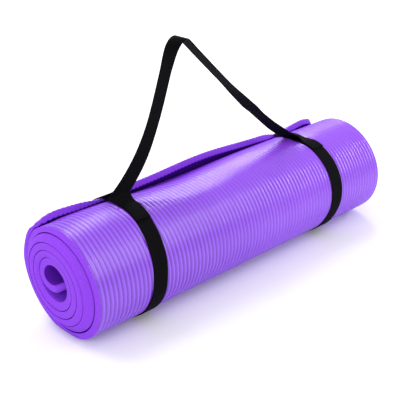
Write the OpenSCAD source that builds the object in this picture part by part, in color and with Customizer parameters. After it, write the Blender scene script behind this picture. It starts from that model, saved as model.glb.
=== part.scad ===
// Thick foam exercise mat, rolled up and held by a webbing strap.
// Millimetres. X runs along the roll, Z is up, and the origin is on the floor
// under the middle of the roll. The strap is one length of webbing sewn into
// a loop at each end; the free run between the loops is the carry handle.

/* [Mat] */
// Width of the mat, which is the length of the roll
roll_length = 610; // [540:5:660]
// Radius of the outermost layer where the mat ends
roll_radius = 87.5; // [86:0.5:92]
// Distance from one layer of the roll to the next
layer_pitch = 10.8; // [9.6:0.1:11.6]
// Air left between two layers
layer_gap = 0.4; // [0.2:0.1:0.8]
// Number of turns in the roll
turns = 5.33; // [3.5:0.01:5.33]
// How far the roll is out of round, along its tilted long axis
ovality = 4; // [0:0.5:5]
// Height of the middle of the roll over the floor
roll_height = 80.4; // [80:0.2:82]
// Length of the flat the roll rests on, between the two loops
foot_length = 190; // [100:10:190]

/* [Strap] */
// Width of the webbing
web_width = 25.4; // [20:0.2:30]
// Thickness of the webbing
web_thick = 1.8; // [1.2:0.1:1.8]
// Distance from the front loop to the middle of the roll
front_loop_x = 196; // [180:1:200]
// Distance from the rear loop to the middle of the roll
rear_loop_x = 187; // [180:1:200]
// Length of the sewn lap that closes a loop, measured round the roll
lap_angle = 30; // [22:1:36]

/* [Handle] */
// Height of the top of the handle
handle_top_z = 372; // [340:4:400]
// Where the top of the handle stands along the roll
handle_top_x = -77; // [-97:2:-57]
// Height at which the handle drapes
drape_z = 252; // [245:1:260]
// Turn of the rear leg about its own length under the top
rear_twist = 76; // [60:2:80]

/* [Hidden] */

edge_angle = 420;               // the mat's outer cut edge, measured on past one turn
tail_angle = edge_angle - 360 * turns;
long_axis = 38;                 // tilt of the out-of-round section
core_shift = [6.4, -1.1];       // the core sits a little to the back of the middle
wrap_start = 88;                // where the straight run from the flap meets the roll
clear = 0.35;                   // air under the webbing
tunnel = web_thick + 0.6;       // room for the loops under the roll
swing_z = roll_height + roll_radius + 2.2;
swing_y = 8;                    // the swing line passes over the middle of the roll's weight
thread = 0.5;
foam = [0.56, 0.30, 0.93];
webbing = [0.05, 0.05, 0.06];

// ---- the roll's cross-section ------------------------------------------
// Point of the outer surface at a winding angle, moved out by d
function wound(a, d = 0) =
    let (r = roll_radius - layer_pitch * (edge_angle - a) / 360,
         s = 1 + ovality / roll_radius * cos(2 * (a - long_axis)),
         u = (edge_angle - a) / 1920)
    [core_shift[0] * u + (r * s + d) * cos(a),
     roll_height + core_shift[1] * u + (r * s + d) * sin(a)];

function on_floor(p, z) = [p[0], max(p[1], z)];

// Turn a section drawn in Y and Z into a solid running along X
module along_x(x0, x1) {
    translate([x0, 0, 0]) rotate([90, 0, 90]) linear_extrude(x1 - x0) children();
}

module mat() {
    step = 6;
    n = floor((edge_angle - tail_angle) / step);
    outer = [for (i = [0:n]) on_floor(wound(edge_angle - i * step), tunnel)];
    inner = [for (i = [n:-1:0]) wound(edge_angle - i * step - 360, layer_gap)];
    under = [for (a = [238:2:302]) if (wound(a)[1] < tunnel - 0.05) on_floor(wound(a), 0)];
    last = under[len(under) - 1];
    first = under[0];
    color(foam) union() {
        along_x(-roll_length / 2, roll_length / 2) polygon(concat(outer, inner));
        along_x(-foot_length / 2, foot_length / 2)
            polygon(concat(under, [[last[0], tunnel + 3], [first[0], tunnel + 3]]));
    }
}

// ---- the loops ----------------------------------------------------------
// Point at a given Y on the straight run of a loop, from the roll to the flap
function bridge(y, d) =
    let (a = wound(wrap_start, d), b = wound(edge_angle, d))
    [y, a[1] + (b[1] - a[1]) * (y - a[0]) / (b[0] - a[0])];

// The end of the webbing is lapped over the start of its own loop and sewn
// down, so the first stretch of the loop has two thicknesses.
module loop_section() {
    a0 = wrap_start;
    lap_end = a0 + lap_angle;
    out = clear + web_thick;
    lap_y = swing_y + 2 * web_thick;
    lapped = [for (i = [0:6]) wound(a0 + lap_angle * i / 6, out + web_thick)];
    single = [for (a = [lap_end:(edge_angle - lap_end) / 60:edge_angle + 0.01])
        on_floor(wound(a, out), tunnel - clear - web_thick)];
    difference() {
        polygon(concat([bridge(lap_y, out), bridge(lap_y, out + web_thick)], lapped, single));
        polygon([for (i = [0:66])
            on_floor(wound(a0 + (edge_angle - a0) * i / 66, clear), tunnel - clear)]);
    }
}

// The webbing turns up out of the lap into a short tab that leans the way the
// handle leaves, and the handle carries on from that tab.
module tab(x, foot, lean) {
    low = bridge(swing_y, clear + web_thick);
    spread = web_width / 2 / sin(lean);
    rotate([90, 0, 0]) translate([0, 0, -swing_y - web_thick]) linear_extrude(2 * web_thick)
        polygon([[x - web_width / 2 + 0.5, low[1]], [x + web_width / 2 - 0.5, low[1]],
                 [foot[0] + spread, swing_z - 1.2], [foot[0] - spread, swing_z - 1.2]]);
}

module strap_loop(x, foot, lean) {
    color(webbing) union() {
        along_x(x - web_width / 2, x + web_width / 2) loop_section();
        tab(x, foot, lean);
    }
}

module front_loop() { strap_loop(-front_loop_x, foot_f, lean_f); }
module rear_loop() { strap_loop(rear_loop_x, foot_r, lean_r); }

// ---- the stitching ------------------------------------------------------
// Rows of thread across the lap, standing on the webbing
module lap_stitches(x) {
    rows = 5;
    high = clear + 2 * web_thick + 0.06;
    inset = 2.4;
    color([0.16, 0.16, 0.18]) union() {
        for (i = [0:rows - 1]) {
            a = wrap_start + 11 + (lap_angle - 15) * i / (rows - 1);
            q = wound(a, high);
            translate([x - web_width / 2 + inset, q[0], q[1]]) rotate([a - 90, 0, 0])
                cube([web_width - 2 * inset, 0.9, thread]);
        }
        for (side = [-1, 1]) {
            sx = x + side * (web_width / 2 - inset);
            arc = [for (i = [0:8]) wrap_start + 10 + (lap_angle - 13) * i / 8];
            along_x(sx - 0.45, sx + 0.45)
                polygon(concat([for (a = arc) wound(a, high)],
                               [for (i = [8:-1:0]) wound(arc[i], high + thread)]));
        }
    }
}

module front_lap_stitching() { lap_stitches(-front_loop_x); }
module rear_lap_stitching() { lap_stitches(rear_loop_x); }

// ---- the handle ---------------------------------------------------------
// Both legs follow smooth curves in the plane through the swing line
function curve(p, t) =
    pow(1 - t, 3) * p[0] + 3 * t * pow(1 - t, 2) * p[1]
    + 3 * t * t * (1 - t) * p[2] + pow(t, 3) * p[3];
function slope(p, t) =
    pow(1 - t, 2) * (p[1] - p[0]) + 2 * t * (1 - t) * (p[2] - p[1]) + t * t * (p[3] - p[2]);
function unit(v) = v / norm(v);
function along(dir, len) = len * [cos(dir), 0, sin(dir)];

lean_f = 47;
lean_r = 35;
foot_f = [-front_loop_x + 7, swing_y, swing_z];
foot_r = [rear_loop_x - 35, swing_y, swing_z];
top_f = [handle_top_x - 14, swing_y, handle_top_z - 20];
top_r = [handle_top_x + 21, swing_y, handle_top_z - 20];
front_leg = [foot_f, foot_f + along(lean_f, 65), top_f - along(72, 70), top_f];
rear_leg = [foot_r, foot_r + along(180 - lean_r, 75), top_r + along(-43, 90), top_r];
arch = [top_f, top_f + along(72, 18), top_r + along(138, 20), top_r];

// Parameter at which a leg reaches a height, by repeated halving
function at_height(p, z, lo = 0, hi = 1, n = 24) =
    n == 0 ? (lo + hi) / 2 :
    curve(p, (lo + hi) / 2)[2] < z ? at_height(p, z, (lo + hi) / 2, hi, n - 1)
                                   : at_height(p, z, lo, (lo + hi) / 2, n - 1);

// Four corners of the webbing at one point of its run. turn is how far its
// face is turned about its own length; level 1 cuts the webbing level, and
// level 0 cuts it square.
function corners(c, dir, turn, level) =
    let (d = unit(dir), flat = [d[2], 0, -d[0]],
         face = cos(turn) * [0, 1, 0] + sin(turn) * flat,
         wide = cos(turn) * flat - sin(turn) * [0, 1, 0]
                + (level == 0 ? 0 : level * cos(turn) * d[0] / d[2]) * d)
    [for (k = [[-1, -1], [1, -1], [1, 1], [-1, 1]])
        c + k[0] * web_width / 2 * wide + k[1] * web_thick / 2 * face];

module ribbon(rings) {
    n = len(rings);
    polyhedron(
        points = [for (r = rings) each r],
        faces = concat([[0, 1, 2, 3]],
            [for (i = [0:n - 2]) for (k = [0:3])
                let (a = 4 * i + k, b = 4 * i + (k + 1) % 4) [b, a, a + 4, b + 4]],
            [[4 * n - 1, 4 * n - 2, 4 * n - 3, 4 * n - 4]]),
        convexity = 6);
}

// Ease from 0 to 1 between two values
function ease(v, lo, hi) =
    let (t = max(0, min(1, (v - lo) / (hi - lo)))) t * t * (3 - 2 * t);

hinge_gap = 1.4;

module leg(p) {
    t0 = at_height(p, swing_z + hinge_gap);
    t1 = at_height(p, drape_z - hinge_gap);
    steps = 12;
    color(webbing) ribbon([for (i = [0:steps]) let (t = t0 + (t1 - t0) * i / steps)
        corners(curve(p, t), slope(p, t), 0, 1)]);
}

module front_handle_leg() { leg(front_leg); }
module rear_handle_leg() { leg(rear_leg); }

// The part of the handle above the drape line: up the front leg, over the top
// and down the rear leg, which runs turned nearly edge-on under the top
module handle_top() {
    n = 12;
    f0 = at_height(front_leg, drape_z + hinge_gap);
    r0 = at_height(rear_leg, drape_z + hinge_gap);
    turned = 180 - rear_twist;
    up = [for (i = [0:n]) let (t = f0 + (1 - f0) * i / n, c = curve(front_leg, t))
        corners(c, slope(front_leg, t), 0, 1 - ease(c[2], drape_z + 8, drape_z + 40))];
    over = [for (i = [1:n - 1]) let (t = i / n)
        corners(curve(arch, t), slope(arch, t), turned * ease(t, 0, 0.8), 0)];
    down = [for (i = [0:n]) let (t = 1 - (1 - r0) * i / n, c = curve(rear_leg, t))
        corners(c, -slope(rear_leg, t),
                180 - rear_twist * ease(c[2], drape_z + 10, drape_z + 60),
                1 - ease(c[2], drape_z + 8, drape_z + 40))];
    color(webbing) ribbon(concat(up, over, down));
}

mat();
front_loop();
rear_loop();
front_handle_leg();
rear_handle_leg();
handle_top();
front_lap_stitching();
rear_lap_stitching();
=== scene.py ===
import math

import bmesh
import bpy
import numpy as np
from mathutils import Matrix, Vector


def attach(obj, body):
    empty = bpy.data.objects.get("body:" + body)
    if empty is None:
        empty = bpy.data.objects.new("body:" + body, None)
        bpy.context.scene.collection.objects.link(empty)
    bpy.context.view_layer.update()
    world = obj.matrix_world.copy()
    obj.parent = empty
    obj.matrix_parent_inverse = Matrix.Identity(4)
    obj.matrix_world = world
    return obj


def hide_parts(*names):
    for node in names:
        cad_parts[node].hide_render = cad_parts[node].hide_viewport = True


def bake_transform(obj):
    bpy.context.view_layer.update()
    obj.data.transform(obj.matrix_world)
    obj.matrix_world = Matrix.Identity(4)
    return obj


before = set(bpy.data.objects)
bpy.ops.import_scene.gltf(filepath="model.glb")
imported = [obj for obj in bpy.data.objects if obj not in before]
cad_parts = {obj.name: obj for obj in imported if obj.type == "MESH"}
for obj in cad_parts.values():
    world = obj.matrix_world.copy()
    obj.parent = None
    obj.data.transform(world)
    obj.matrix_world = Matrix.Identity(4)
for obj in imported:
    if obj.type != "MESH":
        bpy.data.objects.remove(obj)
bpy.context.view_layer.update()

# ------------------------------------------------------------------ sizes, mm
HALF_LENGTH = 305.0
ROLL_RADIUS = 87.5
LAYER_PITCH = 10.8
OVALITY = 4.0               # how much longer the roll's half axis is at LONG_AXIS degrees
LONG_AXIS = 38.0
ROLL_HEIGHT = 80.4          # height of the outermost turn's centre
CORE_SHIFT = (6.4, -1.1)    # how far the innermost turn's centre lies from it, in y and z
EDGE = 420.0                # winding angle of the outer cut edge
TAIL = -1530.0              # winding angle of the inner end
TAIL_LIFT = -1430.0         # where the inner end leaves the roll and crosses the hole
CORE_SPAN = 1920.0          # winding angle over which the centre shifts to CORE_SHIFT
LAYER_GAP = 0.25            # air between two turns where they lie close
RIBS = 84
RIB_DEPTH = 2.3
RIB_SHARPNESS = 1.9         # above 1 the grooves are narrower than the crests
CORNER_RADIUS = 40.0        # outer corner of the mat at the front
REAR_CORNER = 62.0          # the outer corner at the rear
INNER_CORNER = 15.0
TAIL_ARC = 0.58             # length of sheet to one degree of winding at the inner end
TAIL_HALF = 5.1             # half the sheet's thickness where it crosses the hole
TAIL_CURVE = ((33.8, 85.0), (35.5, 68.0), (10.0, 60.0), (-8.0, 76.0))
LIFT_FROM = 388.0           # winding angle where the flap starts to leave the layer below
DENT_FROM, DENT_TO = 38.0, 60.0     # winding angles over which the outermost turn begins
OUT_SLIP, BACK_SLIP = 10.6, 5.0     # how far the inner turns have slid out, and back again
FLOOR_GAP = 0.15            # between the floor and the roll
END_RISE = 2.1              # how much higher the roll's ends sit, to leave room for a loop
FLOOR_SOFT = 1.2            # how gently the foam flattens there
WEB_WIDTH = 25.4
WEB_THICK = 1.7
SWING_Y = 8.0               # the handle's plane, which holds its hinge lines
SPLIT_Z = 238.0             # where the handle's webbing is parted into pieces
WEB_CLEAR = 0.12            # between the mat and the webbing
LAP_CLEAR = 0.1             # between a loop and the lap on it
LAP_START = 121             # degrees round the roll, where 90 is its top
STITCHED = (104, 119)       # the part of the lap that is sewn, in the same degrees
STITCH_PITCH = 2.6
STITCH_INSET = 2.2          # from the webbing's edge to the rows along it
WEAVE_ACROSS = 14           # picks of the weave across the webbing
WEAVE_LENGTH = 1.9          # length of a pick along it
THREAD_RADIUS = 0.28
RIB_PITCH = 2 * HALF_LENGTH / RIBS

# How the free edge of the mat stands off the layer below: height, middle and width
# of each wave along the roll. It is held down at the two loops and at the front corner.
FLAP_WAVES = ((6.4, 8, 95), (-5.2, -196, 28), (-7.0, 184, 22), (2.4, 248, 20), (1.3, -272, 22),
              (-3.2, -305, 12))
# Air between the turns: size, first and last winding angle, and how softly it starts.
GAPS = ((1.6, -300, -90, 22), (0.75, -960, -630, 40), (0.75, -1320, -1010, 40),
        (0.6, -1500, -1370, 30), (0.45, -620, -450, 30))


def ease(v, lo, hi):
    """0 up to lo and 1 from hi on, smooth between."""
    t = np.clip((np.asarray(v, float) - lo) / (hi - lo), 0, 1)
    return t * t * (3 - 2 * t)


def bell(v, middle, width):
    """1 at the middle, falling off smoothly to both sides."""
    return np.exp(-((np.asarray(v, float) - middle) / width) ** 2)


def plateau(v, lo, hi, soft):
    """1 between lo and hi, 0 outside, soft on both sides of each limit."""
    return ease(v, lo - soft, lo + soft) * (1 - ease(v, hi - soft, hi + soft))


# ------------------------------------------------------- the roll's surfaces
def spiral(phi):
    """Centre, radius and direction of the outer surface at a winding angle."""
    r = ROLL_RADIUS - LAYER_PITCH * (EDGE - phi) / 360
    r = r * (1 + OVALITY / ROLL_RADIUS * np.cos(np.radians(2 * (phi - LONG_AXIS))))
    u = (EDGE - phi) / CORE_SPAN
    a = np.radians(phi)
    return CORE_SHIFT[0] * u, ROLL_HEIGHT + CORE_SHIFT[1] * u, r, np.cos(a), np.sin(a)


def front_x(phi):
    """Where the front loop lies along the roll. It is a little skewed."""
    return -195.2 + 8.5 * np.cos(np.radians(phi - 60))


def rear_x(phi):
    """Where the rear loop lies along the roll."""
    return 186.3 + 3.8 * np.cos(np.radians(2 * (phi - 152)))


def flap_lift(x):
    """How far the free outer edge of the mat stands off the layer below."""
    return sum(height * bell(x, middle, width) for height, middle, width in FLAP_WAVES)


def under_strap(phi, x):
    """1 under the webbing of either loop, 0 away from it."""
    half, soft = WEB_WIDTH / 2, 2.6
    return (plateau(x - front_x(phi), -half, half, soft)
            + plateau(x - rear_x(phi), -half, half, soft))


def outer_push(phi, x):
    """Move of the outer surface along its normal, outermost turn only."""
    lift = flap_lift(x) * ease(phi, LIFT_FROM, EDGE)
    # the hollow beside the flap, the front corner's fall, its hem drawn in, and the dent
    # and the crease at the rear junction
    sag = -6.2 * bell(x, -78, 92) * plateau(phi, 45, 112, 18)
    fall = -2.2 * ease(-x, 262, 300) * plateau(phi, 45, 95, 15)
    tuck = -2.6 * bell(x, -305, 14) * plateau(phi, 372, 430, 12)
    dent = -1.8 * bell(x, 176, 24) * plateau(phi, 74, 104, 16)
    crease = -1.5 * bell(x - 172 + 1.1 * (phi - 92), 0, 14) * plateau(phi, 84, 128, 14)
    on_top = ease(phi, DENT_FROM, DENT_TO)
    return lift + on_top * (sag + fall + dent + crease) + tuck


def layer_gap(phi):
    """Air between this layer and the one inside it."""
    return LAYER_GAP + sum(size * plateau(phi - 360, lo, hi, soft) for size, lo, hi, soft in GAPS)


def telescope(phi):
    """How far each layer has slid out towards the front end."""
    return OUT_SLIP * ease(-phi, 60, 640) - BACK_SLIP * (np.clip(-1000 - phi, 0, 430) / 500) ** 3


def rib(x):
    """Depth of the grooves between the ribs."""
    wave = 0.5 - 0.5 * np.cos(2 * np.pi * (x + HALF_LENGTH) / RIB_PITCH)
    return RIB_DEPTH * wave ** RIB_SHARPNESS


def soft_floor(z, level):
    """Flattens what would go under a level, with a rounded shoulder."""
    over = z - level
    rounded = FLOOR_SOFT * np.log1p(np.exp(np.clip(over / FLOOR_SOFT, -30, 30)))
    return level + np.where(over > 4 * FLOOR_SOFT, over, rounded)


def tail_path(phi):
    """The inner end of the sheet: middle line and outward direction."""
    t = np.clip((TAIL_LIFT - phi) / (TAIL_LIFT - TAIL), 0, 1)
    y, z, dy, dz = 0, 0, 0, 0
    for w, (py, pz) in zip(((1 - t) ** 3, 3 * t * (1 - t) ** 2, 3 * t * t * (1 - t), t ** 3), TAIL_CURVE):
        y, z = y + w * py, z + w * pz
    for w, (py, pz), (qy, qz) in zip(((1 - t) ** 2, 2 * t * (1 - t), t * t), TAIL_CURVE, TAIL_CURVE[1:]):
        dy, dz = dy + w * (qy - py), dz + w * (qz - pz)
    n = np.hypot(dy, dz)
    return y, z, -dz / n, dy / n


def corner_recede(x, radius):
    """How far a rounded corner of the mat draws its end back at this x."""
    dx = np.clip(np.abs(x) - (HALF_LENGTH - radius), 0, radius)
    return radius - np.sqrt(np.clip(radius ** 2 - dx ** 2, 0, None))


def sheet_point(phi, x, side, inset):
    """Point of the sheet. side 0 is the outer surface and 1 the inner one;
    inset is the distance in from that surface."""
    outer_radius = np.where(x > 0, REAR_CORNER, CORNER_RADIUS)
    back_out = np.degrees(corner_recede(x, outer_radius) / ROLL_RADIUS) * ease(phi, EDGE - 90, EDGE)
    back_in = corner_recede(x, INNER_CORNER) / TAIL_ARC * ease(-phi, -TAIL - 60, -TAIL)
    phi = phi - back_out + back_in
    cy, cz, r, c, s = spiral(phi)
    strap = under_strap(phi, x) * ease(phi, DENT_FROM, DENT_TO)
    d_out = outer_push(phi, x) - rib(x) * (1 - 0.55 * strap) * (1 - 0.6 * ease(phi, EDGE - 35, EDGE))
    oy, oz = cy + (r + d_out) * c, cz + (r + d_out) * s
    cy2, cz2, r2, _, _ = spiral(phi - 360)
    lift = np.clip(flap_lift(x), 0, None) * ease(phi, LIFT_FROM, EDGE)
    d_in = layer_gap(phi) + lift + 0.6 * rib(x)
    iy, iz = cy2 + (r2 + d_in) * c, cz2 + (r2 + d_in) * s
    ty, tz, ny, nz = tail_path(phi)
    w = ease(-phi, -TAIL_LIFT - 22, -TAIL_LIFT + 8)
    oy, oz = oy + w * (ty + ny * TAIL_HALF - oy), oz + w * (tz + nz * TAIL_HALF - oz)
    iy, iz = iy + w * (ty - ny * TAIL_HALF - iy), iz + w * (tz - nz * TAIL_HALF - iz)
    gap = np.hypot(oy - iy, oz - iz)
    t = side + (1 - 2 * side) * inset / np.maximum(gap, 1)
    y, z = oy + (iy - oy) * t, oz + (iz - oz) * t
    level = FLOOR_GAP + END_RISE * ease(np.abs(x), 92, 108)
    z = np.where(phi > EDGE - 360, soft_floor(z, level), z)
    return x - telescope(phi - 360 * t), y, z


# ---------------------------------------------------------------- mesh tools
def new_object(name, verts_mm, faces, materials, face_material=None):
    mesh = bpy.data.meshes.new(name)
    mesh.from_pydata((np.asarray(verts_mm, float) / 1000).tolist(), [], faces)
    for m in materials:
        mesh.materials.append(m)
    if face_material is not None:
        mesh.polygons.foreach_set("material_index", np.asarray(face_material, np.int32))
    mesh.polygons.foreach_set("use_smooth", np.ones(len(mesh.polygons), bool))
    mesh.update()
    ob = bpy.data.objects.new(name, mesh)
    bpy.context.scene.collection.objects.link(ob)
    return ob


def flip_if_inside_out(ob):
    bm = bmesh.new()
    bm.from_mesh(ob.data)
    if bm.calc_volume(signed=True) < 0:
        bmesh.ops.reverse_faces(bm, faces=bm.faces)
        bm.to_mesh(ob.data)
    bm.free()


# ---------------------------------------------------------------- materials
def srgb(r, g, b):
    def lin(v):
        v = v / 255
        return v / 12.92 if v <= 0.04045 else ((v + 0.055) / 1.055) ** 2.4

    return (lin(r), lin(g), lin(b), 1.0)


def new_material(name):
    mat = bpy.data.materials.new(name)
    mat.use_nodes = True
    nodes, links = mat.node_tree.nodes, mat.node_tree.links
    return mat, nodes, links, nodes["Principled BSDF"]


def object_coords(nodes):
    return nodes.new("ShaderNodeTexCoord").outputs["Object"]


def noise(nodes, links, scale, detail):
    n = nodes.new("ShaderNodeTexNoise")
    n.inputs["Scale"].default_value = scale
    n.inputs["Detail"].default_value = detail
    links.new(object_coords(nodes), n.inputs["Vector"])
    return n.outputs["Fac"]


def ramp(nodes, links, source, stops):
    """A colour between two stops, each a position and a colour."""
    r = nodes.new("ShaderNodeValToRGB")
    for element, (position, colour) in zip(r.color_ramp.elements, stops):
        element.position, element.color = position, colour
    links.new(source, r.inputs["Fac"])
    return r.outputs["Color"]


def bump(nodes, links, bsdf, height, distance, strength):
    b = nodes.new("ShaderNodeBump")
    b.inputs["Distance"].default_value = distance
    b.inputs["Strength"].default_value = strength
    links.new(height, b.inputs["Height"])
    links.new(b.outputs["Normal"], bsdf.inputs["Normal"])


def math_node(nodes, links, operation, source, *numbers):
    n = nodes.new("ShaderNodeMath")
    n.operation = operation
    links.new(source, n.inputs[0])
    for k, number in enumerate(numbers):
        n.inputs[k + 1].default_value = number
    return n.outputs[0]


def painted_groove_shade(nodes, links):
    """How much painted shade darkens the skin: most in the middle of a groove, and less towards the rear
    end of the roll."""
    split = nodes.new("ShaderNodeSeparateXYZ")
    links.new(object_coords(nodes), split.inputs[0])
    x = split.outputs[0]
    per_metre = 2 * math.pi * 1000 / RIB_PITCH
    wave = math_node(nodes, links, "MULTIPLY_ADD", x, per_metre, per_metre * HALF_LENGTH / 1000)
    wave = math_node(nodes, links, "COSINE", wave)
    wave = math_node(nodes, links, "MULTIPLY_ADD", wave, -0.5, 0.5)
    wave = math_node(nodes, links, "POWER", wave, 1.6)
    fade = nodes.new("ShaderNodeMapRange")
    fade.interpolation_type = "SMOOTHSTEP"
    links.new(x, fade.inputs["Value"])
    for key, value in (("From Min", -0.16), ("From Max", 0.12), ("To Min", 0.66), ("To Max", 0.0)):
        fade.inputs[key].default_value = value
    both = nodes.new("ShaderNodeMath")
    both.operation = "MULTIPLY"
    links.new(wave, both.inputs[0])
    links.new(fade.outputs[0], both.inputs[1])
    return both.outputs[0]


def set_gloss(bsdf, roughness, specular):
    bsdf.inputs["Roughness"].default_value = roughness
    bsdf.inputs["Specular IOR Level"].default_value = specular


def foam_skin():
    mat, nodes, links, bsdf = new_material("foam_skin")
    fac = noise(nodes, links, 14, 4)
    crest = ramp(nodes, links, fac, [(0.3, srgb(139, 62, 227)), (0.7, srgb(145, 68, 231))])
    mix = nodes.new("ShaderNodeMix")
    mix.data_type = "RGBA"
    factor, colour_a, painted_shade_colour, colour_out = mix.inputs[0], mix.inputs[6], mix.inputs[7], mix.outputs[2]
    links.new(painted_groove_shade(nodes, links), factor)
    links.new(crest, colour_a)
    # painted shade: a deeper purple mixed into the grooves of the ribs
    painted_shade_colour.default_value = srgb(88, 25, 172)
    links.new(colour_out, bsdf.inputs["Base Color"])
    set_gloss(bsdf, 0.27, 1.0)
    bsdf.inputs["Sheen Weight"].default_value = 0.06
    bsdf.inputs["Sheen Roughness"].default_value = 0.5
    bsdf.inputs["Sheen Tint"].default_value = srgb(220, 190, 255)
    bump(nodes, links, bsdf, noise(nodes, links, 900, 3), 0.00012, 0.35)
    return mat


def cut_foam():
    mat, nodes, links, bsdf = new_material("cut_foam")
    fac = noise(nodes, links, 700, 5)
    links.new(ramp(nodes, links, fac, [(0.3, srgb(120, 44, 207)), (0.75, srgb(144, 64, 225))]),
              bsdf.inputs["Base Color"])
    set_gloss(bsdf, 0.75, 0.3)
    bump(nodes, links, bsdf, noise(nodes, links, 800, 4), 0.0004, 0.5)
    return mat


def webbing_material():
    mat, nodes, links, bsdf = new_material("webbing")
    stretch = nodes.new("ShaderNodeMapping")
    stretch.inputs["Scale"].default_value = (WEAVE_ACROSS, 1, 1)
    links.new(nodes.new("ShaderNodeTexCoord").outputs["UV"], stretch.inputs["Vector"])
    weave = nodes.new("ShaderNodeTexVoronoi")
    weave.inputs["Scale"].default_value = 1.0
    links.new(stretch.outputs["Vector"], weave.inputs["Vector"])
    links.new(ramp(nodes, links, weave.outputs["Distance"],
                   [(0.1, srgb(9, 8, 12)), (0.7, srgb(3, 3, 5))]),
              bsdf.inputs["Base Color"])
    set_gloss(bsdf, 0.8, 0.06)
    bump(nodes, links, bsdf, weave.outputs["Distance"], 0.0003, 0.5)
    return mat


def thread_material():
    mat, nodes, links, bsdf = new_material("thread")
    fac = noise(nodes, links, 1500, 2)
    links.new(ramp(nodes, links, fac, [(0.3, srgb(7, 6, 9)), (0.7, srgb(12, 11, 15))]),
              bsdf.inputs["Base Color"])
    set_gloss(bsdf, 0.9, 0.06)
    return mat


# A darker purple for the inner surfaces of the turns: painted shade for the gaps between the turns and
# the hole in the middle.
def shaded_inner_foam():
    mat, nodes, links, bsdf = new_material("shaded_inner_foam")
    fac = noise(nodes, links, 500, 4)
    links.new(ramp(nodes, links, fac, [(0.3, srgb(92, 18, 168)), (0.75, srgb(104, 24, 184))]),
              bsdf.inputs["Base Color"])
    set_gloss(bsdf, 0.8, 0.2)
    return mat


SKIN, CUT, INNER = foam_skin(), cut_foam(), shaded_inner_foam()
WEB, THREAD = webbing_material(), thread_material()

# ----------------------------------------------------------------- the mat
CAP_STEPS = 3               # mesh steps round half of a long edge of the sheet
RIB_SAMPLES = np.array([0, 0.2, 0.34, 0.46, 0.54, 0.66, 0.8])
COARSE_STEP = 21            # three ribs to a column where the sheet is hidden
COARSE_ROWS = 172
CUT_ROUND = 1.7             # rounding of the sheet's cut outer end
LOWER_WALL = (-1225, -1085)         # the winding angles of the lit wall under the tail, which keeps the cut foam colour and not the painted shade
SKIN_FACE, CUT_FACE, INNER_FACE = 0, 1, 2


def mat_columns():
    """The columns of one closed loop round the sheet: x as a share of half the length,
    sine and 1 - cosine of the angle round an edge, which surface (0 outer, 1 inner)
    each column is on, and the number of columns on a flat surface."""
    share = np.concatenate([(k + RIB_SAMPLES) / RIBS for k in range(RIBS)] + [[1.0]])
    flat = 2 * share - 1
    angles = np.radians(np.linspace(0, 90, CAP_STEPS + 1)[1:])
    x, sn, cs, side = [], [], [], []

    def add(xs, a, which):
        for value, angle in zip(xs, a):
            x.append(value)
            sn.append(math.sin(angle))
            cs.append(1 - math.cos(angle))
            side.append(which)

    add(flat, np.zeros(len(flat)), 0)
    add(np.ones(CAP_STEPS), angles, 0)
    add([1.0], [math.pi / 2], 0.5)
    add(np.ones(CAP_STEPS), angles[::-1], 1)
    add(flat[::-1], np.zeros(len(flat)), 1)
    add(-np.ones(CAP_STEPS), angles, 1)
    add([-1.0], [math.pi / 2], 0.5)
    add(-np.ones(CAP_STEPS), angles[::-1], 0)
    return np.array(x), np.array(sn), np.array(cs), np.array(side), len(flat)


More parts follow.
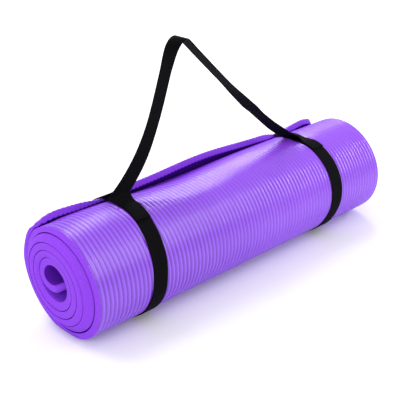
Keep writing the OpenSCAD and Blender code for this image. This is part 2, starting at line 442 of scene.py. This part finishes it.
def build_mat():
    """The whole sheet as one closed mesh: fine rows where it shows, coarse rows where it
    is wound in, and a closing face over each cut end."""
    fx, sn, cs, side, n_flat = mat_columns()
    n_cap = 2 * CAP_STEPS + 1
    n_col = len(fx)
    first_low = n_flat + n_cap
    past_low = first_low + n_flat
    beta = np.radians([90, 66, 42, 20, 0])
    end_phi = EDGE - np.degrees(CUT_ROUND * (1 - np.sin(beta)) / ROLL_RADIUS)
    end_inset = CUT_ROUND * (1 - np.cos(beta))
    fine = np.concatenate([end_phi, np.arange(417, 396, -3.5), np.arange(394, 50, -6.0)])
    fine_inset = np.concatenate([end_inset, np.zeros(len(fine) - len(end_phi))])
    coarse = np.linspace(fine[-1] - 7, TAIL, COARSE_ROWS)

    def rows(phis, insets, cols):
        """Points of the sheet at these winding angles, for these columns."""
        phi, share = phis[:, None], fx[None, cols]
        low = side[None, cols] > 0.5
        rnd = np.where(low, 0.6, 0.5 + 1.6 * ease(phi, 20, 70))
        x = share * (HALF_LENGTH - rnd) + np.sign(share) * rnd * sn[None, cols]
        depth = rnd * cs[None, cols] + insets[:, None]
        sd = np.broadcast_to(side[None, cols], x.shape)
        depth = np.where(sd == 0.5, 0, depth)
        return np.stack(sheet_point(np.broadcast_to(phi, x.shape), x, sd, depth), -1)

    all_cols = np.arange(n_col)
    keep = np.array([k for k in range(n_col)
                     if not (0 < k < n_flat - 1 and k % COARSE_STEP)
                     and not (first_low <= k < past_low and (past_low - 1 - k) % COARSE_STEP)])
    va = rows(fine, fine_inset, all_cols)
    vb = rows(coarse, np.zeros(len(coarse)), keep)
    verts = np.concatenate([va.reshape(-1, 3), vb.reshape(-1, 3)])
    base_b = va.shape[0] * n_col
    nb = len(keep)
    faces, mats = [], []

    def kind(k0, k1, deep):
        """The material of the face between two columns. deep is inside the roll."""
        on_edge = min(sn[k0], sn[k1]) > 0.3
        # inner surfaces get the darker purple, painted shade for the gaps and the hole
        if max(side[k0], side[k1]) > 0.5 and not on_edge:
            return INNER_FACE
        return CUT_FACE if deep or on_edge else SKIN_FACE

    for i in range(va.shape[0] - 1):
        a, b = i * n_col, (i + 1) * n_col
        for k in range(n_col):
            k1 = (k + 1) % n_col
            faces.append((a + k, a + k1, b + k1, b + k))
            mats.append(CUT_FACE if fine_inset[i] > 0.5 else kind(k, k1, False))
    for j in range(nb):
        k0, k1 = keep[j], keep[(j + 1) % nb]
        a = (va.shape[0] - 1) * n_col
        span = list(range(k0, k1 + 1)) if k1 > k0 else [k0, k1]
        faces.append(tuple([a + k for k in span] + [base_b + (j + 1) % nb, base_b + j]))
        mats.append(kind(k0, k1, False))
    for i in range(vb.shape[0] - 1):
        a, b = base_b + i * nb, base_b + (i + 1) * nb
        for j in range(nb):
            j1 = (j + 1) % nb
            faces.append((a + j, a + j1, b + j1, b + j))
            lower_wall = LOWER_WALL[0] < coarse[i] < LOWER_WALL[1]
            mats.append(CUT_FACE if lower_wall else kind(keep[j], keep[j1], True))

    def closing_faces(base, cols):
        """Faces over an end of the sheet: a row of quads, which run against the loop,
        and one face for each rounded edge, which run with it."""
        top = [j for j, k in enumerate(cols) if k < n_flat]
        low = [j for j, k in enumerate(cols) if first_low <= k < past_low][::-1]
        quads = [(base + top[m], base + low[m], base + low[m + 1], base + top[m + 1])
                 for m in range(len(top) - 1)]
        edges = [tuple(base + j for j in range(top[-1], low[-1] + 1)),
                 tuple([base + j for j in range(low[0], len(cols))] + [base + top[0]])]
        return quads, edges

    quads, edges = closing_faces(0, all_cols)
    faces += quads + [edge[::-1] for edge in edges]
    mats += [CUT_FACE] * (len(quads) + len(edges))
    quads, edges = closing_faces(base_b + (vb.shape[0] - 1) * nb, keep)
    faces += [quad[::-1] for quad in quads] + edges
    mats += [CUT_FACE] * (len(quads) + len(edges))
    ob = new_object("mat_roll", verts, faces, [SKIN, CUT, INNER], mats)
    flip_if_inside_out(ob)
    return ob


mat_roll = build_mat()
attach(mat_roll, "mat")
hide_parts("mat")


# -------------------------------------------------------------- the webbing
def web_profile():
    """Cross-section of the webbing: u across (-1..1) and v out of its face, mm."""
    ridges, depth = 15, 0.12
    half = WEB_THICK / 2
    u = np.linspace(-1, 1, 2 * ridges + 1)[1:-1]
    v = half - depth * (0.5 - 0.5 * np.cos(np.pi * np.arange(1, 2 * ridges)))
    top = list(zip(u, v))
    right = [(0.98, half * 0.8), (1.0, half * 0.3), (1.0, -half * 0.3), (0.98, -half * 0.8)]
    low = [(a, -b) for a, b in top[::-1]]
    left = [(-a, -b) for a, b in right]
    return np.array(top + right + low + left)


PROFILE = web_profile()
LOOP_STATIONS = 220
HANDLE_STATIONS = 260


def strip(centre, wide, face, closed, first):
    """Points, faces and (across, along) marks of one length of webbing."""
    n, m = len(centre), len(PROFILE)
    u, v = PROFILE[:, 0], PROFILE[:, 1]
    pts = (centre[:, None, :] + u[None, :, None] * wide[:, None, :]
           + v[None, :, None] * face[:, None, :])
    faces = []
    for i in range(n if closed else n - 1):
        a, b = first + i * m, first + ((i + 1) % n) * m
        for k in range(m):
            k1 = (k + 1) % m
            faces.append((a + k, a + k1, b + k1, b + k))
    if not closed:
        faces.append(tuple(first + k for k in range(m))[::-1])
        faces.append(tuple(first + (n - 1) * m + k for k in range(m)))
    length = np.concatenate([[0], np.cumsum(np.linalg.norm(np.diff(centre, axis=0), axis=1))])
    marks = np.stack(np.broadcast_arrays((u[None, :] + 1) / 2, length[:, None] / WEAVE_LENGTH), -1)
    pts = pts.reshape(-1, 3)
    volume = 0
    for face_ids in faces:
        q = pts[np.array(face_ids) - first]
        volume += sum(np.dot(q[0], np.cross(q[k], q[k + 1])) for k in range(1, len(q) - 1))
    if volume < 0:
        faces = [face_ids[::-1] for face_ids in faces]
    return pts, faces, marks.reshape(-1, 2)


def sweep(name, *runs, closed=False):
    """One object of webbing. A run is its middle line, half its width as vectors,
    and the unit normals of its face."""
    points, faces, marks = [], [], []
    for centre, wide, face in runs:
        p, f, m = strip(centre, wide, face, closed, sum(len(q) for q in points))
        points.append(p)
        faces += f
        marks.append(m)
    ob = new_object(name, np.vstack(points), faces, [WEB])
    for polygon in ob.data.polygons:
        polygon.use_smooth = len(polygon.vertices) == 4
    marks = np.vstack(marks)
    uv = ob.data.uv_layers.new(name="UVMap")
    corner = np.zeros(len(ob.data.loops), np.int32)
    ob.data.loops.foreach_get("vertex_index", corner)
    uv.data.foreach_set("uv", marks[corner].ravel())
    return ob


def unit(v):
    return v / np.linalg.norm(v, axis=-1, keepdims=True)


def hull(points):
    """Convex hull of (y, z) points, anticlockwise."""
    pts = sorted(map(tuple, points))

    def half(seq):
        out = []
        for p in seq:
            while len(out) > 1 and ((out[-1][0] - out[-2][0]) * (p[1] - out[-2][1])
                                    - (out[-1][1] - out[-2][1]) * (p[0] - out[-2][0])) <= 0:
                out.pop()
            out.append(p)
        return out

    lower, upper = half(pts), half(pts[::-1])
    return np.array(lower[:-1] + upper[:-1])


def resample(points, n, closed):
    """n points evenly spaced along a line of points."""
    p = np.vstack([points, points[:1]]) if closed else points
    s = np.concatenate([[0], np.cumsum(np.linalg.norm(np.diff(p, axis=0), axis=1))])
    t = np.linspace(0, s[-1], n + 1)[:-1] if closed else np.linspace(0, s[-1], n)
    return np.stack([np.interp(t, s, p[:, k]) for k in range(p.shape[1])], -1)


def smooth_closed(p, rounds):
    for _ in range(rounds):
        p = 0.5 * p + 0.25 * (np.roll(p, 1, 0) + np.roll(p, -1, 0))
    return p


def loop_path(x_of):
    """Middle line of a loop of webbing lying on the roll, with its face normals."""
    phi = np.linspace(60, EDGE - 0.6, 400)
    x = x_of(phi)
    _, y, z = sheet_point(phi, x, np.zeros_like(phi), np.zeros_like(phi))
    ring = smooth_closed(resample(hull(np.stack([y, z], -1)), LOOP_STATIONS, True), 3)
    t = unit(np.roll(ring, -1, 0) - np.roll(ring, 1, 0))
    normal = np.stack([t[:, 1], -t[:, 0]], -1)
    mid = ring + normal * (WEB_THICK / 2 + WEB_CLEAR)
    angle = np.degrees(np.arctan2(ring[:, 1] - ROLL_HEIGHT, ring[:, 0]))
    centre = np.column_stack([x_of(angle), mid])
    face = np.column_stack([np.zeros(len(ring)), normal])
    return centre, face, angle % 360


def build_loop(name, x_of, node):
    """A loop round the roll. Returns its middle line, face normals and angles."""
    centre, face, angle = loop_path(x_of)
    along = unit(np.roll(centre, -1, 0) - np.roll(centre, 1, 0))
    wide = unit(np.cross(along, face)) * WEB_WIDTH / 2
    ob = sweep(name, (centre, wide, face), closed=True)
    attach(ob, "strap_loops")
    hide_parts(node)
    return centre, face, angle


front_ring = build_loop("strap_front_loop", front_x, "front_loop")
rear_ring = build_loop("strap_rear_loop", rear_x, "rear_loop")


# --------------------------------------------------------------- the handle
def bezier(p, t):
    """Points of the cubic curve with these four control points."""
    t = np.asarray(t, float)[:, None]
    return ((1 - t) ** 3 * p[0] + 3 * t * (1 - t) ** 2 * p[1]
            + 3 * t * t * (1 - t) * p[2] + t ** 3 * p[3])


def heading(deg, length):
    """A vector in the xz plane."""
    a = math.radians(deg)
    return np.array([math.cos(a), math.sin(a)]) * length


# the handle in the xz plane: where each leg starts and ends, its headings in degrees
# there, and how long each pull is
FOOT_F, TOP_F = np.array([-197.5, 166.5]), np.array([-94.3, 350.0])
FOOT_R, TOP_R = np.array([183.5, 154.5]), np.array([-70.0, 365.8])
FRONT_LEG = [FOOT_F, FOOT_F + heading(37.5, 84), TOP_F - heading(68, 67), TOP_F]
REAR_LEG = [FOOT_R, FOOT_R + heading(163, 53), TOP_R + heading(-44.3, 102), TOP_R]
ARCH = [TOP_F, TOP_F + heading(68, 11), TOP_R + heading(137, 11), TOP_R]


def ribbon_frames(centre, turn, level):
    """Width and face vectors. turn is the rotation of the face about the run, and
    level says how far the webbing is cut level instead of square."""
    along = unit(np.gradient(centre, axis=0))
    flat = unit(np.stack([along[:, 2], np.zeros(len(along)), -along[:, 0]], -1))
    sideways = np.array([0.0, 1.0, 0.0])
    c, s = np.cos(np.radians(turn))[:, None], np.sin(np.radians(turn))[:, None]
    face = c * sideways + s * flat
    wide = c * flat - s * sideways
    lean = (along[:, 0] / np.where(np.abs(along[:, 2]) < 0.2, 0.2, along[:, 2]))[:, None]
    wide = wide + level[:, None] * c * lean * along
    return wide * WEB_WIDTH / 2, unit(face)


def handle_run():
    """The handle's middle line from the front foot to the rear foot, and the distances
    along it where the front leg ends, the rear leg begins and the rear leg ends."""
    t = np.linspace(0, 1, 61)
    up, over, down = bezier(FRONT_LEG, t), bezier(ARCH, t[::3]), bezier(REAR_LEG, t[::-1])
    xz = np.vstack([up, over[1:], down[1:]])
    centre = np.stack([xz[:, 0], np.full(len(xz), SWING_Y), xz[:, 1]], -1)
    dist = np.concatenate([[0], np.cumsum(np.linalg.norm(np.diff(centre, axis=0), axis=1))])
    return resample(centre, HANDLE_STATIONS, False), dist[60], dist[80], dist[-1]


centre, s_up, s_over, s_all = handle_run()
s = np.linspace(0, s_all, len(centre))
x, z = centre[:, 0], centre[:, 2]
rear = s > s_over
# the webbing makes a quarter turn past the top of the front leg, and leans a little
# down both legs
turn = 90 * ease(s, s_up + 7.5, s_up + 15) - 7.5 * ease(s, 40, 120) * (1 - ease(s, s_up - 30, s_up))
turn = turn + np.where(rear, 13 * ease(x, 8, 60) + 4 * bell(x, 70, 8) - 2 * bell(x, 90, 7)
                       + 8 * ease(x, 100, 140), 0)
level = np.where(rear, 0, 1 - ease(z, 215, 260))
wide, face = ribbon_frames(centre, turn, level)
soften = bell(s, s_up + 10, 22)[:, None]       # the quarter turn is smoothed afterwards
for _ in range(26):
    wide[1:-1] += soften[1:-1] * (0.25 * (wide[2:] + wide[:-2]) - 0.5 * wide[1:-1])
    centre[1:-1] += soften[1:-1] * (0.25 * (centre[2:] + centre[:-2]) - 0.5 * centre[1:-1]) * 0.3
wide_face = np.cross(unit(np.gradient(centre, axis=0)), wide)
face = unit(np.where((wide_face * face).sum(1)[:, None] < 0, -wide_face, wide_face))

first = np.where((s < s_up) & (z > SPLIT_Z))[0][0]
last = np.where(rear & (z > SPLIT_Z))[0][-1]
top_piece = sweep("handle_webbing_top",
                  (centre[first:last + 1], wide[first:last + 1], face[first:last + 1]))
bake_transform(top_piece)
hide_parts("handle_top")


def blend_curve(p0, d0, p1, d1, n, pull):
    """n points from p0, leaving along d0, to p1, arriving along d1."""
    t = np.linspace(0, 1, n)[:, None]
    a, b = p0 + d0 * pull, p1 - d1 * pull
    return ((1 - t) ** 3 * p0 + 3 * t * (1 - t) ** 2 * a + 3 * t * t * (1 - t) * b + t ** 3 * p1)


def build_base(name, ring, leave, leg, stem_z, pull, node, tent=None):
    """The lap on a loop, up to the angle where it leaves the roll, and the webbing that
    turns up out of it into a leg, which it meets at the height stem_z. tent is the
    angle, the upper end and the upper half width of a second run behind it."""
    c, f, a = ring
    pick = np.where((a >= leave) & (a <= LAP_START))[0]
    pick = pick[np.argsort(-a[pick])]
    lap = c[pick] + f[pick] * (WEB_THICK + LAP_CLEAR)
    leg_c, leg_w = leg[0][leg[0][:, 2] >= stem_z], leg[1][leg[0][:, 2] >= stem_z]
    if leg_w[0][0] + leg_w[0][1] < 0:
        leg_w = -leg_w
    steps = 16
    turn_up = blend_curve(lap[-1], unit(lap[-1] - lap[-2]), leg_c[0], unit(leg_c[1] - leg_c[0]),
                          steps, pull)
    share = ease(np.linspace(0, 1, steps)[1:-1], 0, 1)[:, None]
    across = np.array([WEB_WIDTH / 2, 0, 0])
    between = across * (1 - share) + leg_w[0] * share
    path = np.vstack([lap, turn_up[1:-1], leg_c])
    wides = np.vstack([np.tile(across, (len(lap), 1)), between, leg_w])
    faces = unit(np.cross(wides, unit(np.gradient(path, axis=0))))
    runs = [(path, wides, faces)]
    if tent is not None:
        # the back of the band is drawn up to the leg it is sewn to
        k = np.argmin(np.abs(a - tent[0]))
        foot = c[k] + f[k] * (WEB_THICK + LAP_CLEAR)
        t = np.linspace(0, 1, 12)[:, None]
        back = foot + (np.array(tent[1]) - foot) * t
        back_w = across * (1 - t) + np.array(tent[2]) * t
        back_f = unit(np.cross(back_w, unit(np.gradient(back, axis=0))))
        runs.append((back, back_w, back_f))
    ob = sweep(name, *runs)
    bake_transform(ob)
    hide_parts(node)


front_leg = (centre[:first + 1], wide[:first + 1])
rear_leg = (centre[last:][::-1], wide[last:][::-1])
build_base("strap_front_base", front_ring, 92, front_leg, 169, 4, "front_handle_leg",
           tent=(62, (-192, 9, 171), (13, 0, -4)))
build_base("strap_rear_base", rear_ring, 107, rear_leg, 159, 12, "rear_handle_leg")


# ------------------------------------------------------------- the stitching
def build_stitches(name, ring, node):
    """Thread rows across the lap and along its sides."""
    c, f, a = ring
    parts_v, parts_f = [], []
    sides = 6

    def row(p, q, up):
        """Stitches from p to q, each a short thread with pinched ends."""
        d = unit(q - p)
        side = np.cross(d, up)
        length = np.linalg.norm(q - p)
        count = max(2, int(length / STITCH_PITCH))
        for i in range(count):
            m0 = p + d * (length * (i + 0.12) / count)
            m1 = p + d * (length * (i + 0.88) / count)
            base = sum(len(v) for v in parts_v)
            ring_pts = []
            for t, w in ((0, 0.35), (0.2, 1), (0.8, 1), (1, 0.35)):
                for k in range(sides):
                    b = 2 * math.pi * k / sides
                    out = math.cos(b) * side + math.sin(b) * up
                    ring_pts.append(m0 + (m1 - m0) * t + THREAD_RADIUS * w * out)
            parts_v.append(np.array(ring_pts))
            for r in range(3):
                r0, r1 = base + sides * r, base + sides * (r + 1)
                for k in range(sides):
                    k1 = (k + 1) % sides
                    parts_f.append((r0 + k, r0 + k1, r1 + k1, r1 + k))
            parts_f.append(tuple(base + k for k in range(sides))[::-1])
            parts_f.append(tuple(base + 3 * sides + k for k in range(sides)))

    pick = np.where((a >= STITCHED[0]) & (a <= STITCHED[1]))[0]
    pick = pick[np.argsort(a[pick])]
    half = WEB_WIDTH / 2 - STITCH_INSET
    high = 1.5 * WEB_THICK + LAP_CLEAR
    rail = [(c[i] + f[i] * high, f[i]) for i in pick]
    for k in (0, len(rail) // 3, 2 * len(rail) // 3, len(rail) - 1):
        p, up = rail[k]
        row(p + np.array([-half, 0, 0]), p + np.array([half, 0, 0]), up)
    for sgn in (-half, half):
        for k in range(0, len(rail) - 2, 2):
            p, up = rail[k]
            q = rail[min(k + 2, len(rail) - 1)][0]
            off = np.array([sgn, 0, 0])
            row(p + off, q + off, up)
    ob = new_object(name, np.vstack(parts_v), parts_f, [THREAD])
    flip_if_inside_out(ob)
    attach(ob, "strap_loops")
    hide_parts(node)


build_stitches("front_stitches", front_ring, "front_lap_stitching")
build_stitches("rear_stitches", rear_ring, "rear_lap_stitching")

# ----------------------------------------------------------- floor and light
floor_mat, _, _, bsdf = new_material("studio_floor")
bsdf.inputs["Base Color"].default_value = (0.93, 0.93, 0.94, 1)
bsdf.inputs["Roughness"].default_value = 0.85
bpy.ops.mesh.primitive_plane_add(size=30, location=(0, 0, 0))
floor = bpy.context.object
floor.name = "studio_floor"
floor.data.materials.append(floor_mat)

scene = bpy.context.scene
world = bpy.data.worlds.new("studio")
scene.world = world
world.use_nodes = True
world.node_tree.nodes["Background"].inputs["Color"].default_value = (1, 1, 1, 1)
world.node_tree.nodes["Background"].inputs["Strength"].default_value = 0.8


def aim(ob, location, target):
    ob.location = location
    ob.rotation_euler = (Vector(target) - Vector(location)).to_track_quat("-Z", "Y").to_euler()


def softbox(name, location, target, size, power):
    data = bpy.data.lights.new(name, "AREA")
    data.shape, data.size, data.energy = "SQUARE", size, power
    ob = bpy.data.objects.new(name, data)
    scene.collection.objects.link(ob)
    aim(ob, location, target)


softbox("key", (-0.5, 1.2, 2.2), (0, 0, 0.1), 1.2, 25)
softbox("back", (1.9, 1.5, 1.6), (0.05, 0, 0.1), 0.9, 18)
softbox("end", (2.3, -0.5, 0.9), (0.05, 0, 0.1), 0.4, 14)
softbox("side", (2.2, -2.0, 1.2), (0.05, 0, 0.1), 0.7, 19)
softbox("fill", (-2.2, -0.7, 1.1), (0, 0, 0.1), 1.4, 18)

scene.view_settings.view_transform = "Standard"
camera = bpy.data.objects.new("camera", bpy.data.cameras.new("camera"))
scene.collection.objects.link(camera)
camera.data.sensor_width = 36.0
camera.data.lens = 81.62
aim(camera, (-0.9205, -0.8786, 0.6725), (-0.0451, 0.0, 0.1162))
scene.camera = camera
